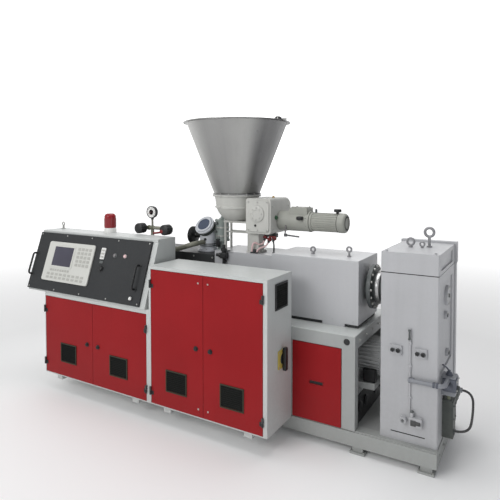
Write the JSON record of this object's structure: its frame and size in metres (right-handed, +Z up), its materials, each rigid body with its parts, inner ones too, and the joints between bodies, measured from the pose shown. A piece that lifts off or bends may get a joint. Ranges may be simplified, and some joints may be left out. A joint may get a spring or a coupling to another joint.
{
  "type": "plastic extruder",
  "caption": "Conical twin-screw plastic extruder on a floor frame, with gearbox, feeder hopper, vacuum vent, red-doored control cabinets and a sloping operator panel.",
  "frame": {"origin": "On the floor, under the middle of the machine's bounding box.", "axes": "+X runs along the screws from the discharge flange to the gearbox, +Y from the operator's side to the back, +Z up."},
  "size_m": [3.408, 1.1513, 2.202],
  "materials": {
    "frame_grey": "light grey semi-gloss paint on sheet and section steel",
    "panel_red": "deep red semi-gloss paint on sheet steel",
    "gearbox_silver": "silver-grey enamel on cast iron",
    "cover_grey": "silver-grey paint on sheet steel",
    "feeder_grey": "grey-beige enamel on cast iron",
    "motor_grey": "mid grey paint on ribbed cast iron",
    "dark_metal": "black paint on steel",
    "stainless": "brushed stainless sheet",
    "bare_steel": "machined steel",
    "panel_charcoal": "charcoal textured paint",
    "cream_plastic": "cream moulded case",
    "black_plastic": "black moulded plastic",
    "red_lens": "red translucent dome",
    "glass": "blue-tinted sight glass",
    "dark_window": "dark louvred window",
    "switch_yellow": "yellow switch plate",
    "white_metal": "white enamel",
    "gauge_white": "white dial behind a clear front",
    "hose_rubber": "dark rubber hose"
  },
  "bodies": {
    "machine": {"base_frame": "frame_grey", "floor_plate": "motor_grey", "cabinet_brackets": "frame_grey", "levelling_feet": "bare_steel", "machine_stand": "frame_grey", "stand_plate": "frame_grey", "front_access_panel": "panel_red", "rear_access_panels": "panel_red", "drive_motor": "motor_grey", "motor_bed": "motor_grey", "gearbox_housing": "gearbox_silver", "gearbox_cover": "gearbox_silver", "bearing_covers": "gearbox_silver", "lifting_eyes": "bare_steel", "oil_gauges": "bare_steel", "oil_pipework": "bare_steel", "oil_pump_unit": "dark_metal", "oil_hose": "hose_rubber", "drive_cover": "cover_grey", "cover_seat": "dark_metal", "coupling_housing": "gearbox_silver", "barrel": "bare_steel", "barrel_guard": "dark_metal", "feed_housing": "cover_grey", "discharge_flange": "bare_steel", "vent_chamber": "white_metal", "vent_sight_glass": "glass", "vacuum_filter": "black_plastic", "vacuum_separator": "feeder_grey", "vacuum_pipework": "feeder_grey", "valve_handwheels": "black_plastic", "pressure_gauge": "gauge_white", "hopper": "stainless", "hopper_latch": "black_plastic", "feeder_bowl": "feeder_grey", "feeder_frame": "feeder_grey", "feeder_gearbox": "feeder_grey", "feed_chute": "feeder_grey", "feeder_reducer": "feeder_grey", "feeder_motor": "feeder_grey", "low_cabinet": "frame_grey", "tall_cabinet": "frame_grey", "hinge_pins": "dark_metal", "console_box": "frame_grey", "console_panel": "panel_charcoal", "controller": "cream_plastic", "panel_handles": "bare_steel", "panel_buttons": "black_plastic", "beacon": "red_lens", "side_window": "dark_window", "switch_plate": "switch_yellow"},
    "low_left_door_body": {"low_left_door": "panel_red", "low_left_door_fittings": "black_plastic"},
    "low_right_door_body": {"low_right_door": "panel_red", "low_right_door_fittings": "black_plastic"},
    "tall_left_door_body": {"tall_left_door": "panel_red", "tall_left_door_fittings": "black_plastic"},
    "tall_right_door_body": {"tall_right_door": "panel_red", "tall_right_door_fittings": "black_plastic"},
    "main_switch": {"switch_handle": "black_plastic"}
  },
  "joints": [
    {"name": "low_left_door_hinge", "type": "hinge", "parent": "machine", "child": "low_left_door_body", "pos_m": [-1.49896, -0.55332, 0.4515], "axis": [0, 0, -1], "range_deg": [0, 90]},
    {"name": "low_right_door_hinge", "type": "hinge", "parent": "machine", "child": "low_right_door_body", "pos_m": [-0.39296, -0.55332, 0.4515], "axis": [0, 0, 1], "range_deg": [0, 90]},
    {"name": "tall_left_door_hinge", "type": "hinge", "parent": "machine", "child": "tall_left_door_body", "pos_m": [-0.35096, -0.55332, 0.6155], "axis": [0, 0, -1], "range_deg": [0, 90]},
    {"name": "tall_right_door_hinge", "type": "hinge", "parent": "machine", "child": "tall_right_door_body", "pos_m": [0.56304, -0.55332, 0.6155], "axis": [0, 0, 1], "range_deg": [0, 90]},
    {"name": "main_switch_turn", "type": "hinge", "parent": "machine", "child": "main_switch", "pos_m": [0.60104, -0.34832, 0.575], "axis": [1, 0, 0], "range_deg": [0, 90]}
  ]
}
